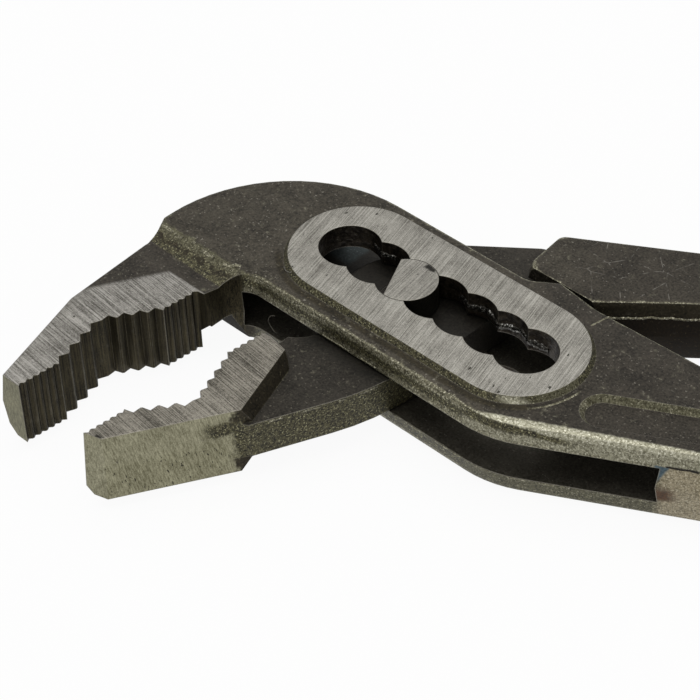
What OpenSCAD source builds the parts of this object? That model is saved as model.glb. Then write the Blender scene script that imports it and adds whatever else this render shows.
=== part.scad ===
// Box-joint water pump pliers.
// The box arm carries the upper jaw, two cheeks with a slot of overlapping holes, and the lower handle.
// The tongue arm carries the lower jaw, a thin tongue that runs between the cheeks, and the upper handle.
// The origin is on the pivot pin's axis, in the plane of the rear boss. The handles run along +X.
// Head points are written as u along the slot (towards the handles) and v across it (away from the jaws).

/* [Pin and slot] */
// Diameter of the pivot pin
pin_d = 10.2; // [8:0.5:12]
// Distance from the pin's axis to the flat on each of its ends
pin_flat = 2.4; // [1.5:0.1:3]
// Direction that the flat faces at rest, measured from the slot
flat_turn = 205; // [190:5:220]
// Radial play of the pin in the holes of the slot
pin_play = 0.1; // [0.05:0.01:0.1]
// Radial clearance of the pin's seat in the tongue arm
pin_seat = 0.02; // [0.01:0.01:0.05]
// Number of overlapping holes in the slot
slot_holes = 7; // [5:1:8]
// Spacing of those holes
slot_pitch = 6.25; // [5.2:0.05:7.5]
// Hole that holds the pin, counted from the jaws
pin_hole = 3; // [2:1:5]

/* [Box] */
// Thickness over the two ground bosses
box_t = 16; // [13:0.5:20]
// Height of each boss above its cheek
boss_h = 1; // [0.6:0.1:1.4]
// Width of the ground land round the holes
boss_land = 6.1; // [5:0.1:7.5]
// Distance from the outermost holes to the centres of the boss's round ends
boss_inset = 1.6; // [0:0.1:2]
// Lean of the boss's wall, from its foot to its top
boss_lean = 0.7; // [0.3:0.1:1]
// Flat ledge of the cheek outside the boss's foot
cheek_ledge = 2.05; // [1.6:0.05:2.6]
// How much farther the box's lower edge stands out than its upper edge
near_rise = 0.7; // [0:0.1:1.5]
// Radius of the round back of the head
head_r = 28; // [25:0.5:33]
// Distance of that radius's centre beyond the first hole
head_set = 2.3; // [0:0.5:4]
// Radius of the gap's jaw end, about the first hole
gap_jaw_r = 18.5; // [16:0.5:20]
// Radius of the gap's handle end, about the last hole
gap_handle_r = 28.5; // [24:0.5:32]
// Height of the stop land on the back of the box
stop_rise = 2; // [1:0.1:2.4]
// Distance from the pin's axis to the start of the stop land
stop_u = 13; // [11:0.5:14]

/* [Forging] */
// Lean of the forged walls, from the parting plane to a face
draft = 1.1; // [0.6:0.1:1.4]
// Rounding of the forged edges
edge_r = 0.9; // [0.5:0.1:0.9]
// Angle between the slot and the handles
lean = 30; // [24:1:36]

/* [Jaws] */
// Thickness of both jaws
jaw_t = 12; // [9.5:0.5:13]
// Distance from the slot's axis to the heel of the jaws
heel_v = 22.9; // [21:0.1:28]
// Length of the toothed heel
heel_len = 6.8; // [5:0.2:9]
// Length of the short flank of the pipe notch
short_flank = 8.3; // [6:0.1:10]
// Length of the long flank of the pipe notch
long_flank = 11.2; // [9:0.1:14]
// Length of the toothed tip
tip_len = 7.6; // [6:0.2:10]
// Lean of the toothed tip and heel
bite_lean = 0.7; // [0:0.1:1]
// Spacing of the fine teeth
fine_pitch = 1.25; // [1:0.05:1.6]
// Spacing of the coarse teeth
coarse_pitch = 2.6; // [2:0.05:3.2]
// Angle between the two faces of a tooth
tooth_angle = 106; // [90:2:120]
// Length worn off each face at a tooth's crest
crest_wear = 0.2; // [0.1:0.05:0.3]
// Distance of the upper bite beyond the first hole
upper_set = 15.6; // [14:0.2:18]
// Depth of the upper pipe notch
upper_notch = 2.8; // [2:0.1:4]
// Step of the upper heel towards the lower jaw
upper_heel = 2.7; // [1.5:0.1:3.5]
// Distance of the lower bite from the pin's axis
lower_set = 13; // [12:0.2:14]
// Depth of the lower pipe notch
lower_notch = 6.3; // [5:0.1:7]
// Step of the lower heel away from the upper jaw
lower_heel = 2.2; // [1.5:0.1:3]
// Width of the upper jaw's tip
upper_tip_w = 4.9; // [4:0.1:6.5]
// Depth of the upper jaw behind its bite
upper_depth = 11.4; // [9.5:0.1:14]
// Width of the lower jaw's tip
lower_tip_w = 3.1; // [2.4:0.1:4]
// Depth of the lower jaw behind its bite
lower_depth = 13.2; // [12:0.1:15]
// Bevel under the upper tip
tip_bevel = 2.4; // [1:0.1:3]
// Bevel under the teeth of the lower tip
lower_bevel = 1.3; // [0.5:0.1:2]
// How far the lower jaw's end and side stand out at the rear face
jaw_lean = 0.8; // [0.2:0.1:1.2]

/* [Neck] */
// Width of the slope from the cheek down to the neck
step_run = 4.6; // [2.5:0.1:5.5]
// Fall of the neck below the jaw's ground face, at the slope's foot
neck_fall = 0.6; // [0.2:0.1:1]
// Length of the ground face's slanted back edge, across the jaw
land_run = 8.5; // [6:0.5:10]
// Length of the ground face's slanted back edge, along the jaw
land_rise = 14.8; // [12:0.2:17]

/* [Tongue] */
// Thickness of the tongue
tongue_t = 6.6; // [5.5:0.1:8]
// Clearance between the tongue and each cheek
tongue_play = 0.25; // [0.15:0.05:0.4]
// Radius of the tongue round the pin
tongue_r = 11.4; // [10:0.1:13.5]
// Radius of the relief behind the lower jaw
relief_r = 6; // [5:0.5:7]
// Distance of the relief's centre from the pin's axis, along the slot
relief_u = 11; // [10:0.5:12]
// Distance of the relief's centre from the pin's axis, across the slot
relief_v = 13.5; // [13:0.5:15]
// Distance from the pin's axis to the tongue's edge on the handle side
tongue_edge = 12.6; // [11:0.1:14]
// Width of the slope from the lower jaw down to the tongue
jaw_slope = 1.4; // [0.8:0.1:2]
// Gap between the shoulder and the stop land at rest
stop_gap = 0.5; // [0.4:0.1:1.5]

/* [Handles] */
// Distance from the pin's axis to the ends of the handles
handle_reach = 190; // [150:1:230]
// Width of the handles
handle_w = 14; // [12:0.5:16.8]
// Thickness of the handles under the grips
handle_t = 11; // [9:0.5:12]
// Centre of the upper handle's straight part, from the pin's axis
upper_y = 17.5; // [16:0.5:22]
// Centre of the lower handle's straight part, from the pin's axis
lower_y = 23.6; // [22:0.1:27]
// Distance from the pin's axis to where the handles turn parallel
parallel_x = 100; // [90:1:120]
// Distance from the pin's axis to the narrowest part of the lower handle's root
root_x = 64; // [60:0.5:68]
// Depth of the panel in the lower handle's root
panel_depth = 1; // [0.5:0.1:1.5]
// Width of that panel at the surface
panel_w = 7.4; // [5:0.2:8]
// Lean of the panel's wall, from its floor to the surface
panel_lean = 0.9; // [0.3:0.1:1.2]
// Border between the panel and the handle's lower edge
panel_border = 3.6; // [3:0.1:4.5]
// Distance from the bend of the lower edge to the panel's round end
panel_start = 16.5; // [12:0.1:20]
// Radius of the bends along the handles
handle_bend = 130; // [80:5:160]

/* [Grips] */
// Distance from the pin's axis to the start of the grips
grip_x = 76; // [72:1:90]
// Wall of the dipped grips
grip_wall = 1.5; // [1:0.1:1.8]
// How far a handle steps in under its grip
core_step = 1.2; // [1:0.1:2]
// Clearance between a grip and its handle
grip_fit = 0.05; // [0.02:0.01:0.1]

/* [Hidden] */
$fn = 96;

mid_z = box_t / 2;
hole_r = pin_d / 2 + pin_play;
first_u = (1 - pin_hole) * slot_pitch;
last_u = (slot_holes - pin_hole) * slot_pitch;
boss_r = hole_r + boss_land;
cheek_t = box_t - 2 * boss_h;
half_w = boss_r + boss_lean + cheek_ledge + draft;
gap_t = tongue_t + 2 * tongue_play;
tip_v = heel_v + heel_len + short_flank + long_flank + tip_len;
upper_u = first_u - upper_set;
lower_u = -lower_set;
far = 300;
run_out = 0.5;

// Turns a point of the tool frame into the head frame, keeping its corner radius
function from_tool(p) = [
  p[0] * cos(lean) - p[1] * sin(lean),
  p[0] * sin(lean) + p[1] * cos(lean),
  p[2]
];

function unit(p) = p / norm(p);
function flat(p) = [p[0], p[1]];
function wrap(list, i) = list[(i + len(list)) % len(list)];

// Points of the arc that rounds the corner b between a and c, or b itself where its radius is 0
function corner(a, b, c) =
  b[2] == 0 ? [flat(b)] :
  let (
    s = unit(flat(a) - flat(b)),
    t = unit(flat(c) - flat(b)),
    half = acos(s * t) / 2,
    mid = flat(b) + unit(s + t) * b[2] / sin(half),
    from = flat(b) + s * b[2] / tan(half) - mid,
    to = flat(b) + t * b[2] / tan(half) - mid,
    sweep = atan2(from[0] * to[1] - from[1] * to[0], from * to),
    steps = max(2, ceil(abs(sweep) / 6))
  )
  [
    for (i = [0:steps])
      let (a = atan2(from[1], from[0]) + sweep * i / steps)
        mid + b[2] * [cos(a), sin(a)]
  ];

// Outline through corners [x, y, radius]
function outline(corners) = [
  for (i = [0:len(corners) - 1])
    each corner(wrap(corners, i - 1), corners[i], wrap(corners, i + 1))
];

// Outline moved inwards by d, for corners taken anticlockwise
function inset(points, d) = [
  for (i = [0:len(points) - 1])
    let (
      a = unit(points[i] - wrap(points, i - 1)),
      b = unit(wrap(points, i + 1) - points[i]),
      m = [-a[1], a[0]],
      n = [-b[1], b[0]]
    )
      points[i] + d * (m + n) / (1 + m * n)
];

// Twice the area of the triangle a, b, c, positive where it turns left
function turn(a, b, c) = (b[0] - a[0]) * (c[1] - a[1]) - (b[1] - a[1]) * (c[0] - a[0]);

// Whether corner i of a loop makes a triangle with its neighbours that holds no other corner
function is_ear(points, loop, i) =
  let (
    a = points[wrap(loop, i - 1)],
    b = points[loop[i]],
    c = points[wrap(loop, i + 1)]
  )
  turn(a, b, c) > 0 && len([
    for (j = loop)
      let (p = points[j])
        if (p != a && p != b && p != c && turn(a, b, p) >= 0 && turn(b, c, p) >= 0 && turn(c, a, p) >= 0)
          j
  ]) == 0;

function first_ear(points, loop, i = 0) = is_ear(points, loop, i) ? i : first_ear(points, loop, i + 1);

// Triangles that fill a loop of points taken anticlockwise, cut off one ear at a time
function fill(points, loop) =
  len(loop) == 3 ? [loop] :
  let (i = first_ear(points, loop))
    concat(
      [[wrap(loop, i - 1), loop[i], wrap(loop, i + 1)]],
      fill(points, [for (j = [0:len(loop) - 1]) if (j != i) loop[j]])
    );

// Forged plate: walls that lean in from the parting plane to both faces, and round edges
module forging(points, t) {
  h = t / 2;
  soft = 1 - sqrt(0.5);
  rings = [
    [-h, draft + edge_r],
    [-h + soft * edge_r, draft + soft * edge_r],
    [-h + edge_r, draft],
    [0, 0],
    [h - edge_r, draft],
    [h - soft * edge_r, draft + soft * edge_r],
    [h, draft + edge_r]
  ];
  n = len(points);
  solid = [
    for (r = rings)
      for (p = inset(points, r[1]))
        [p[0], p[1], mid_z + r[0]]
  ];
  top = (len(rings) - 1) * n;
  flat_face = fill(inset(points, draft + edge_r), [for (i = [0:n - 1]) i]);
  polyhedron(solid, concat(
    flat_face,
    [for (f = flat_face) [top + f[2], top + f[1], top + f[0]]],
    [
      for (r = [0:len(rings) - 2])
        for (i = [0:n - 1])
          let (a = r * n + i, b = r * n + (i + 1) % n)
            each [[a, a + n, b], [b, a + n, b + n]]
    ]
  ));
}

// Children on the front face, and mirrored on the rear face
module both_faces() {
  children();
  translate([0, 0, box_t]) mirror([0, 0, 1]) children();
}

// Everything above a profile [distance, height], drawn along a line from p in direction angle
module above(p, angle, profile) {
  first = profile[0];
  last = profile[len(profile) - 1];
  translate([p[0], p[1], 0]) rotate([0, 0, angle]) rotate([90, 0, 90])
    translate([0, 0, -far / 2]) linear_extrude(far)
      polygon(concat([[first[0], far]], profile, [[last[0], far]]));
}

// Teeth from p to q: crests on the line, roots to its left
function teeth(p, q, pitch) =
  let (
    n = max(1, round(norm(q - p) / pitch)),
    step = (q - p) / n,
    depth = norm(step) / 2 / tan(tooth_angle / 2),
    root = step / 2 + depth * [-step[1], step[0]] / norm(step),
    worn = crest_wear / norm(root)
  )
  [
    for (i = [0:n - 1])
      let (crest = p + i * step)
        each concat(
          i == 0 ? [p] : [crest + worn * (root - step), crest + worn * root],
          [crest + root]
        )
  ];

// Bite line from tip to heel, with the flanks a and b of the pipe notch in that order
function bite(u, notch, heel, a, b) =
  let (
    tip = [u - bite_lean / 2, -tip_v],
    lip = [u + bite_lean / 2, -tip_v + tip_len],
    apex = [lip[0] + notch, lip[1] + a],
    back = [lip[0] + heel, apex[1] + b],
    end = [back[0] + bite_lean, -heel_v]
  )
  [tip, lip, apex, back, end];

upper_bite = bite(upper_u, -upper_notch, upper_heel, long_flank, short_flank);
lower_bite = bite(lower_u, lower_notch, lower_heel, short_flank, long_flank);

function toothed(b) = concat(
  teeth(b[0], b[1], fine_pitch),
  teeth(b[1], b[2], coarse_pitch),
  teeth(b[2], b[3], coarse_pitch),
  teeth(b[3], b[4], fine_pitch),
  [b[4]]
);

// Heights of the front faces: the cheek, the jaws and the tongue
cheek_z = mid_z + cheek_t / 2;
jaw_z = mid_z + jaw_t / 2;
tongue_z = mid_z + tongue_t / 2;

// Turns a point of the head frame into the tool frame
function to_tool(p) = [
  p[0] * cos(lean) + p[1] * sin(lean),
  p[1] * cos(lean) - p[0] * sin(lean)
];

// Corners of the box arm's parting line
mouth_u = upper_bite[4][0] + 2.3;
jaw_back = [upper_bite[1][0] - upper_depth, upper_bite[2][1]];
tip_back = [upper_bite[0][0] - upper_tip_w, -tip_v];
tip_spare = tip_back + 3 * unit(tip_back - jaw_back);
head_u = first_u - head_set - head_r;
near_w = half_w + near_rise;
near_bend = [last_u + 5.7, -near_w];
bend_xy = to_tool(near_bend);
lower_near = [parallel_x, -lower_y - handle_w / 2];
lower_slope = (lower_near[1] - bend_xy[1]) / (parallel_x - bend_xy[0]);
root_y = lower_near[1] + lower_slope * (root_x - parallel_x) + handle_w;
root_end = grip_x + 3;
lower_end = lower_near[1] + lower_slope * (root_end - parallel_x);
stop_v = half_w + stop_rise;
shoulder_wall = stop_v + stop_gap;
upper_slope = 0.085;
box_corners = [
  [mouth_u, tip_spare[1], 0],
  [mouth_u, -near_w, 4],
  [near_bend[0], near_bend[1], 20],
  from_tool([root_end, lower_end, 0]),
  from_tool([root_end, lower_end + handle_w, 0]),
  from_tool([root_x, root_y, 25]),
  [stop_u + 13, stop_v - 0.2, 8],
  [stop_u + 4.5, stop_v + draft, 2.2],
  [stop_u, half_w, 3],
  [head_u, half_w, min(head_r, 2 * (half_w - draft))],
  [head_u, -half_w + 0.4, 2.6],
  [head_u + 1.9, -half_w - 3, 4],
  [jaw_back[0], jaw_back[1], 2.2],
  [tip_spare[0], tip_spare[1], 0]
];

// Corners of the parting line from the shoulder to the upper grip
shoulder_v = shoulder_wall - 1.5 * draft;
upper_mid = upper_y + upper_slope * (root_end - parallel_x);
upper_corners = [
  [9, shoulder_v, 4],
  [23.8, shoulder_v, 2.4],
  from_tool([48, upper_mid - 10.1, handle_bend]),
  from_tool([root_end, upper_mid - handle_w / 2, 0]),
  from_tool([root_end, upper_mid + handle_w / 2, 0]),
  from_tool([46, upper_mid + 4.7, handle_bend]),
  [8, 27.6, 3]
];

// One ground boss, sunk a little into its cheek
module boss() {
  sink = 0.4;
  h = boss_h + sink;
  foot_r = boss_r + boss_lean * h / boss_h;
  a = first_u + boss_inset;
  b = last_u - boss_inset;
  for (u = [a, b])
    translate([u, 0, box_t - h]) cylinder(h = h, r1 = foot_r, r2 = boss_r);
  translate([a, 0, box_t]) rotate([90, 0, 90]) linear_extrude(b - a)
    polygon([[-foot_r, -h], [foot_r, -h], [boss_r, 0], [-boss_r, 0]]);
}

// The scalloped slot: a row of overlapping holes through both cheeks
module slot() {
  for (i = [0:slot_holes - 1])
    translate([first_u + i * slot_pitch, 0, -1]) cylinder(h = box_t + 2, r = hole_r);
}

// The gap between the cheeks, rounded at the jaw end and at the handle end
module gap() {
  translate([0, 0, mid_z - gap_t / 2]) linear_extrude(gap_t) {
    translate([first_u, 0]) circle(gap_jaw_r);
    translate([last_u, 0]) circle(gap_handle_r);
    translate([first_u, -far / 2]) square([last_u - first_u, far]);
  }
}

// What is cut off above the neck: the slope from the cheek, and the fall towards the slope's foot
module neck_cut() {
  ridge_v = half_w;
  foot_v = ridge_v + step_run;
  above([0, -ridge_v], 0, [
    [-far, jaw_z],
    [ridge_v - heel_v, jaw_z],
    [-step_run, jaw_z - neck_fall],
    [run_out * step_run / (cheek_z - jaw_z + neck_fall), cheek_z + run_out]
  ]);
  intersection() {
    above(jaw_back + [draft / 2, 0], atan2(land_rise, land_run), [[0, jaw_z], [12, jaw_z - neck_fall]]);
    translate([-far, -far - foot_v, 0]) cube([2 * far, far, far]);
  }
}

// Hollow under the neck beside the mouth, from the heel of the jaw to the slope of the rear cheek
module neck_recess() {
  translate([0, 0, box_t]) mirror([0, 0, 1]) intersection() {
    above([mouth_u, 0], 90, [[-far, mid_z - far], [0, mid_z], [far, mid_z + far]]);
    above([0, -half_w], 0, [
      [half_w - heel_v, mid_z + 0.5],
      [-step_run * 0.7, mid_z + 0.5],
      [0, cheek_z + 0.5]
    ]);
  }
}

// What is cut off the forgings, so that they thin towards the grips and end there
module handle_cut() {
  rotate([0, 0, lean]) translate([grip_x - grip_fit, -far / 2, -1]) cube([far, far, box_t + 2]);
  taper_run = grip_x - 2 - root_x;
  taper_fall = cheek_z - mid_z - handle_t / 2;
  both_faces() above([0, 0], lean - 90, [
    [root_x - run_out * taper_run / taper_fall, cheek_z + run_out],
    [grip_x - 2, mid_z + handle_t / 2],
    [far, mid_z + handle_t / 2]
  ]);
}

// Core of a handle under its grip, from x on: y is its middle where the handles run parallel, after a slope
module core(x, y, slope, fit = 0) {
  w = handle_w / 2 - core_step + fit;
  t = handle_t - 2 * core_step + 2 * fit;
  first_y = y + slope * (x - parallel_x);
  translate([0, 0, mid_z - t / 2]) linear_extrude(t) polygon(outline([
    [x, first_y - w, 0],
    [parallel_x, y - w, handle_bend],
    [handle_reach + fit, y - w, w - 1],
    [handle_reach + fit, y + w, w - 1],
    [parallel_x, y + w, handle_bend],
    [x, first_y + w, 0]
  ]));
}

// The panel sunk into both faces of the lower handle's root, with leaning walls
module panel_cut() {
  along = from_tool([lower_near[0], lower_near[1]]) - near_bend;
  h = panel_depth + run_out;
  floor_r = panel_w / 2 - panel_lean;
  top_r = floor_r + panel_lean * h / panel_depth;
  both_faces() translate([near_bend[0], near_bend[1], cheek_z - panel_depth])
    rotate([0, 0, atan2(along[1], along[0])])
      translate([panel_start, panel_border + panel_w / 2, 0]) {
        cylinder(h = h, r1 = floor_r, r2 = top_r);
        rotate([90, 0, 90]) linear_extrude(norm(along))
          polygon([[-floor_r, 0], [floor_r, 0], [top_r, h], [-top_r, h]]);
      }
}

// Slanted cut under a jaw's tip, along an edge from p to q with the jaw on its left
module under_bevel(p, q, bevel) {
  along = q - p;
  translate([0, 0, box_t]) mirror([0, 0, 1]) intersection() {
    above(p, atan2(along[1], along[0]), [
      [-far, jaw_z - bevel - far],
      [bevel + run_out, jaw_z + run_out]
    ]);
    translate([-far, -far - tip_v + tip_len + long_flank, -far]) cube([2 * far, far, 2 * far]);
  }
}

module box_arm() {
  color("#55524b") {
    rotate([0, 0, -lean]) box_forging();
    core(grip_x - 4, -lower_y, lower_slope);
  }
}

module box_forging() {
  difference() {
    union() {
      forging(outline(box_corners), cheek_t);
      both_faces() boss();
    }
    both_faces() neck_cut();
    translate([0, 0, -1]) linear_extrude(box_t + 2) polygon(concat(toothed(upper_bite), [
      [mouth_u + 1, -heel_v + 0.6],
      [mouth_u + 1, tip_spare[1] - 1],
      [upper_bite[0][0], tip_spare[1] - 1]
    ]));
    translate([-far / 2, -tip_v - far, -1]) cube([far, far, box_t + 2]);
    under_bevel(jaw_back, tip_back, tip_bevel);
    neck_recess();
    translate([0, stop_v, -1]) cube([stop_u + 11, far, box_t + 2]);
    gap();
    slot();
    handle_cut();
    panel_cut();
  }
}

// Corners of the lower jaw behind its teeth
lower_tip = [lower_bite[0][0] + lower_tip_w, -tip_v + 0.9];
lower_side = [lower_bite[1][0] + lower_depth, lower_bite[2][1] + 3.5];
lower_rear = [lower_bite[4][0] + 5.8, -heel_v - 1.1];

// What is cut off a jaw, so that its face from p to q, with the jaw on its right, leans out towards the rear
module lean_cut(p, q) {
  along = q - p;
  rise = run_out * jaw_t / jaw_lean;
  above(p, atan2(along[1], along[0]), [[-run_out, jaw_z + rise], [2 * jaw_lean, jaw_z - 2 * jaw_t]]);
}

// The lower jaw, with a slope on the side of the tongue
module lower_jaw() {
  step = lower_side - lower_rear;
  out = jaw_slope * unit([-step[1], step[0]]);
  spare = 1.5 * jaw_lean;
  foot = inset([lower_bite[1], lower_bite[0], lower_tip, lower_side], -spare);
  difference() {
    translate([0, 0, mid_z - jaw_t / 2]) linear_extrude(jaw_t) polygon(concat(
      toothed([for (i = [4:-1:0]) lower_bite[i]]),
      [foot[1] + [spare, 0], foot[2], lower_side + (foot[2] - lower_tip)],
      outline([
        [lower_side[0] + out[0], lower_side[1] + out[1] - 0.4, 0],
        [lower_rear[0] + out[0], lower_rear[1] + out[1], 2.5],
        [lower_bite[4][0] + 1.8, -heel_v + 0.3, 0]
      ])
    ));
    both_faces() above(lower_rear, atan2(step[1], step[0]), [
      [0, jaw_z],
      [jaw_slope * 2, 2 * tongue_z - jaw_z]
    ]);
    lean_cut(lower_tip, lower_bite[0]);
    lean_cut(lower_side, lower_tip);
    under_bevel(lower_bite[1], lower_bite[0], lower_bevel);
  }
}

// The tongue, from inside the lower jaw to inside the shoulder
module tongue() {
  translate([0, 0, mid_z - tongue_t / 2]) linear_extrude(tongue_t) difference() {
    union() {
      circle(tongue_r);
      polygon(outline([
        [lower_rear[0] + 1, lower_rear[1] - 6, 0],
        [lower_side[0], lower_side[1] - 0.2, 0],
        [lower_side[0] + 1.2, lower_side[1] + 0.3, 0],
        [tongue_edge - 3, -20, 40],
        [tongue_edge, -2, 40],
        [tongue_edge, shoulder_v + 2, 0],
        [20, shoulder_v + 7, 0],
        [12, shoulder_v + 9.5, 0],
        [7.6, shoulder_v + 8.9, 3],
        [-6, shoulder_v - 1.9, 10],
        [-tongue_r, 3, 10],
        [-tongue_r, -8, 0],
        [lower_bite[4][0] + 1.6, -relief_v - 3.5, 0],
        [lower_bite[4][0] + 1.6, -heel_v - 2, 0]
      ]));
    }
    translate([-relief_u, -relief_v]) circle(relief_r);
  }
}

module tongue_arm() {
  color("#5a574f") {
    rotate([0, 0, -lean]) difference() {
      union() {
        lower_jaw();
        tongue();
        difference() {
          forging(outline(upper_corners), jaw_t);
          handle_cut();
          translate([0, shoulder_wall - far, -1]) cube([far, far, box_t + 2]);
        }
      }
      cylinder(h = box_t, r = pin_d / 2 + pin_seat);
    }
    core(grip_x - 4, upper_y, upper_slope);
  }
}

module pivot_pin() {
  color("#8b8984") rotate([0, 0, -lean]) difference() {
    cylinder(h = box_t, d = pin_d);
    both_faces() rotate([0, 0, flat_turn]) translate([pin_flat, -pin_d, tongue_z])
      cube([pin_d, 2 * pin_d, box_t]);
  }
}

// Dipped sleeve in the tool frame: rounded rings at stations [x, y, size], drawn from the open end to the tip
module sleeve(stations) {
  sides = 32;
  power = 0.55;
  wide = handle_w / 2 + grip_wall;
  high = handle_t / 2 + grip_wall;
  function bulge(c) = sign(c) * pow(abs(c), power);
  n = len(stations);
  points = [
    for (s = stations)
      for (i = [0:sides - 1])
        let (a = 360 * i / sides)
          [s[0], s[1] + s[2] * wide * bulge(cos(a)), mid_z + s[2] * high * bulge(sin(a))]
  ];
  polyhedron(points, concat(
    [[for (i = [0:sides - 1]) i]],
    [[for (i = [0:sides - 1]) (n - 1) * sides + sides - 1 - i]],
    [
      for (r = [0:n - 2])
        for (i = [0:sides - 1])
          let (a = r * sides + i, b = r * sides + (i + 1) % sides)
            each [[a, a + sides, b], [b, a + sides, b + sides]]
    ]
  ));
}

// Stations of a grip along a handle whose middle is at y where it runs parallel, after a slope
function grip_stations(y, slope) =
  let (start = [grip_x, y + slope * (grip_x - parallel_x)])
  concat(
    [[start[0], start[1], 0.97], [start[0] + 0.8, start[1] + 0.8 * slope, 1]],
    [
      for (p = corner(start, [parallel_x, y, handle_bend], [handle_reach, y]))
        [p[0], p[1], 1]
    ],
    [
      [handle_reach - 1.5, y, 1],
      [handle_reach + 0.6, y, 0.95],
      [handle_reach + 1.8, y, 0.84],
      [handle_reach + 2.5, y, 0.64]
    ]
  );

module grip(y, slope) {
  difference() {
    sleeve(grip_stations(y, slope));
    core(grip_x - 4, y, slope, grip_fit);
  }
}

module box_arm_grip() {
  color("#26272a") grip(-lower_y, lower_slope);
}

module tongue_arm_grip() {
  color("#26272a") grip(upper_y, upper_slope);
}

box_arm();
tongue_arm();
pivot_pin();
box_arm_grip();
tongue_arm_grip();
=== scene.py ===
"""Looks of a pair of forged water pump pliers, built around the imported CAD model.

The five CAD pieces keep their shape and place. Each steel piece is painted by zones: forged
scale all over, then ground, trimmed, cut and oily steel where the maker's tools went. Flash,
burrs, flakes and swarf that those tools left stand on the steel as small pieces of their own.
"""
import logging
import math
from abc import ABC, abstractmethod
from dataclasses import dataclass
from enum import Enum
from typing import Any, Mapping, Optional, Sequence, Union

import bpy
from mathutils import Matrix, Vector, noise
from mathutils.bvhtree import BVHTree


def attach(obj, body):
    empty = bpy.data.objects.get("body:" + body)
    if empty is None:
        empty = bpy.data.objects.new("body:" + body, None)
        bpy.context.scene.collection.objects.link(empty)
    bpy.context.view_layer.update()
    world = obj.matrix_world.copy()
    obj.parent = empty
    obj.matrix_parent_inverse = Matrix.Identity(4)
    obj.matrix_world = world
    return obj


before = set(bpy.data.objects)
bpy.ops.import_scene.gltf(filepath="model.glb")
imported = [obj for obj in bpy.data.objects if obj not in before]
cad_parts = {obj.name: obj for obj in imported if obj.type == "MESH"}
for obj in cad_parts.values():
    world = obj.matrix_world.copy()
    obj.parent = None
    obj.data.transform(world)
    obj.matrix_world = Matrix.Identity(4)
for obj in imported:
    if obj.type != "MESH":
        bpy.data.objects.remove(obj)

log = logging.getLogger("pliers")

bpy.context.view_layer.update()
MM = 0.001
HEAD_LEAN = math.radians(30)
# In millimetres: the mid plane of the box, and the middle and half length of the boss's line
MID_Z = 8.0
BOSS_MID = 6.25
BOSS_HALF = 17.15
# Edges bent more than this stay sharp: forged steel and dipped vinyl, in degrees
FORGED_BEND = 36
DIPPED_BEND = 40

Socket = bpy.types.NodeSocket
Tree = bpy.types.NodeTree
Sockets = Mapping[Union[str, int], Socket]
Links = Mapping[Union[str, int], Any]
Pair = tuple[float, float]
Vec = tuple[float, float, float]
Ring = list[Vector]

# Settings that many nodes share
MINUS = {"operation": "SUBTRACT"}
TIMES = {"operation": "MULTIPLY"}
TIMES_PLUS = {"operation": "MULTIPLY_ADD"}
DIVIDED = {"operation": "DIVIDE"}
UNSIGNED = {"operation": "ABSOLUTE"}
LARGEST = {"operation": "MAXIMUM"}
COLOURS = {"data_type": "RGBA"}
VECTORS = {"data_type": "VECTOR"}
# Settings of map range nodes whose value is clamped by the node that it feeds
OPEN = {"clamp": False}
# Places of a mix node's sockets
BY, FROM, TO, MIXED = 0, 6, 7, 2
BODY_FROM, BODY_TO, BODY_MIXED = 4, 5, 1
# A noise's middle, how much weaker each finer step is, and the one that frays borders
NOISE_MIDDLE = 0.5
NOISE_FALL = 0.62
FRAY = (1.6, 4.0)
# Rays of each bevel and occlusion node
EDGE_SAMPLES = 6


def linear(code: str) -> tuple[float, float, float, float]:
    """Turns an sRGB hex colour into linear light.

    Args:
        code: The colour as six hex digits after a hash sign.

    Returns:
        Red, green, blue and full alpha.
    """
    parts = [int(code[i:i + 2], 16) / 255 for i in (1, 3, 5)]
    light = [c / 12.92 if c <= 0.04045 else ((c + 0.055) / 1.055) ** 2.4 for c in parts]
    return (light[0], light[1], light[2], 1.0)


def fresh_tree(holder: Union[bpy.types.Material, bpy.types.World]) -> Tree:
    """Switches a material or a world to nodes and returns its tree, emptied."""
    holder.use_nodes = True
    holder.node_tree.nodes.clear()
    return holder.node_tree


class Pen:
    """Draws the nodes of one tree."""

    def __init__(self, tree: Tree) -> None:
        """Takes up the tree."""
        self.tree = tree

    def add(self, kind: str, settings: Optional[Mapping[str, Any]] = None,
            links: Optional[Links] = None) -> Sockets:
        """Adds one node with its settings and links.

        Args:
            kind: The node's type name. A shader node needs only the part after "ShaderNode".
            settings: Properties of the node by name.
            links: Inputs by name or place, each a socket to link or a value to set.

        Returns:
            The new node's outputs.
        """
        node = self.tree.nodes.new(kind if "Node" in kind else "ShaderNode" + kind)
        for name, value in (settings or {}).items():
            setattr(node, name, value)
        for key, value in (links or {}).items():
            if isinstance(value, Socket):
                self.tree.links.new(value, node.inputs[key])
            else:
                node.inputs[key].default_value = value
        return node.outputs


def from_head(along: float, across: float, height: float) -> Vector:
    """Turns a point of the head's frame in millimetres into the shared frame in metres."""
    turn = Matrix.Rotation(-HEAD_LEAN, 3, "Z")
    return turn @ Vector((along, across, height)) * MM


def wall_line(height: float, span: Pair) -> list[Vector]:
    """Returns a level line in metres along the handles, from heights and ends in millimetres."""
    return [Vector((x, 0, height)) * MM for x in span]


class Axis(Enum):
    """What a zone's limit measures, in millimetres or as a part of a normal."""

    ALONG = "along the slot"
    ACROSS = "across the slot"
    LIFT = "height from the mid plane"
    HEIGHT = "height from the resting face"
    RING = "distance from the boss's centre line"
    FAR_X = "along the handles"
    FAR_Y = "across the handles"
    FACE_ALONG = "normal along the slot"
    FACE_ACROSS = "normal across the slot"
    FACE_UP = "normal to either flat side"
    FACE_Y = "normal across the handles"


FACES = (Axis.FACE_ALONG, Axis.FACE_ACROSS, Axis.FACE_UP, Axis.FACE_Y)


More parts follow.
